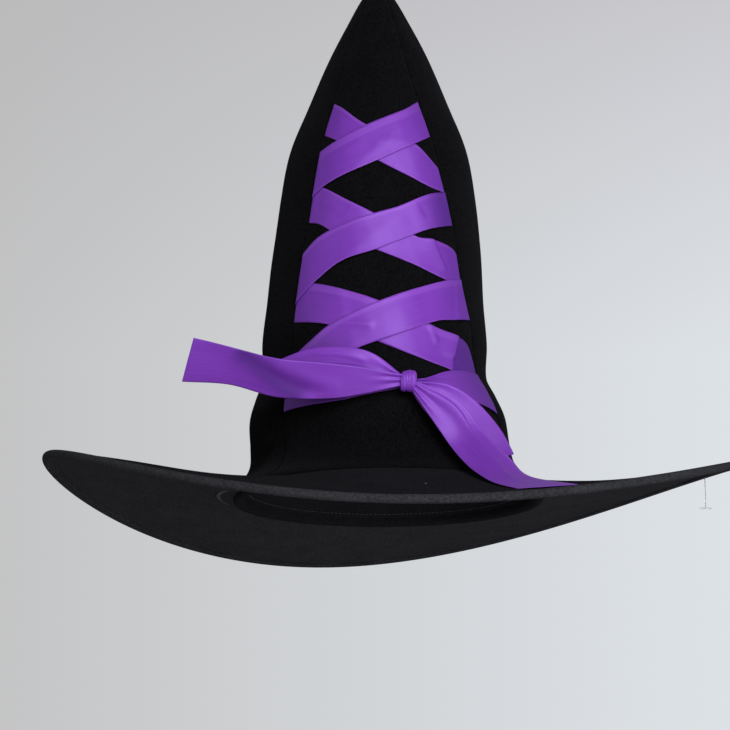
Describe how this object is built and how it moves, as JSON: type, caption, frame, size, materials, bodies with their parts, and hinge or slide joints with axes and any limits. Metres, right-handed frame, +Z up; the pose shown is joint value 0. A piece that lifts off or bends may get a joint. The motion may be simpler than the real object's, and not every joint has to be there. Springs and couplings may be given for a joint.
{
  "type": "witch hat",
  "caption": "Pointed black velour hat with a wide wired brim, satin ribbon criss-cross lacing up the front of the crown and a bow with two tails.",
  "frame": {"origin": "centre of the head opening, in the plane where the crown meets the top of the brim", "axes": "+Z up along the crown to the tip, -Y to the wearer's front where the lacing and the bow are, +X to the wearer's left"},
  "size_m": [0.4523, 0.4495, 0.3917],
  "materials": {
    "velour": "short-pile black velour, matt with a soft sheen at grazing angles",
    "felt": "matt black felt-like knit cover, slightly greyer than the crown",
    "foam": "soft open foam backing, matt",
    "band": "black woven tape, matt",
    "satin": "purple single-face satin ribbon, glossy along its warp",
    "wire": "drawn steel wire",
    "ferrule": "crimped steel tube",
    "clear_plastic": "clear polypropylene, translucent"
  },
  "bodies": {
    "hat": {"crown_front_panel": "velour", "crown_right_panel": "velour", "crown_back_panel": "velour", "crown_left_panel": "velour", "crown_front_foam": "foam", "crown_right_foam": "foam", "crown_back_foam": "foam", "crown_left_foam": "foam", "sweatband": "band", "brim_top_cover": "felt", "brim_foam_core": "foam", "brim_under_cover": "felt", "brim_edge_wire": "wire", "wire_ferrule": "ferrule", "brim_edge_binding": "felt", "lace_left_1": "satin", "lace_left_2": "satin", "lace_left_3": "satin", "lace_left_4": "satin", "lace_right_1": "satin", "lace_right_2": "satin", "lace_right_3": "satin", "lace_right_4": "satin", "bow_knot": "satin", "tag_anchor_bar": "clear_plastic"},
    "bow_tail_left": {"bow_tail_left": "satin"},
    "bow_tail_right": {"bow_tail_right": "satin"},
    "bow_loop_left": {"bow_loop_left": "satin"},
    "bow_loop_right": {"bow_loop_right": "satin"},
    "tag_fastener": {"tag_fastener": "clear_plastic"}
  },
  "joints": [
    {"name": "tail_left_swing", "type": "hinge", "parent": "hat", "child": "bow_tail_left", "pos_m": [0.007, -0.1003, 0.0575], "axis": [0, -1, 0], "range_deg": [-70, 12]},
    {"name": "tail_right_swing", "type": "hinge", "parent": "hat", "child": "bow_tail_right", "pos_m": [0.007, -0.1003, 0.0575], "axis": [0, -1, 0], "range_deg": [0, 60]},
    {"name": "loop_left_swing", "type": "hinge", "parent": "hat", "child": "bow_loop_left", "pos_m": [0.007, -0.1003, 0.0575], "axis": [0, -1, 0], "range_deg": [-12, 0]},
    {"name": "loop_right_swing", "type": "hinge", "parent": "hat", "child": "bow_loop_right", "pos_m": [0.007, -0.1003, 0.0575], "axis": [0, -1, 0], "range_deg": [0, 12]},
    {"name": "tag_swing", "type": "hinge", "parent": "hat", "child": "tag_fastener", "pos_m": [0.2178, 0.0306, 0.0171], "axis": [0, 1, 0], "range_deg": [-35, 35]}
  ]
}
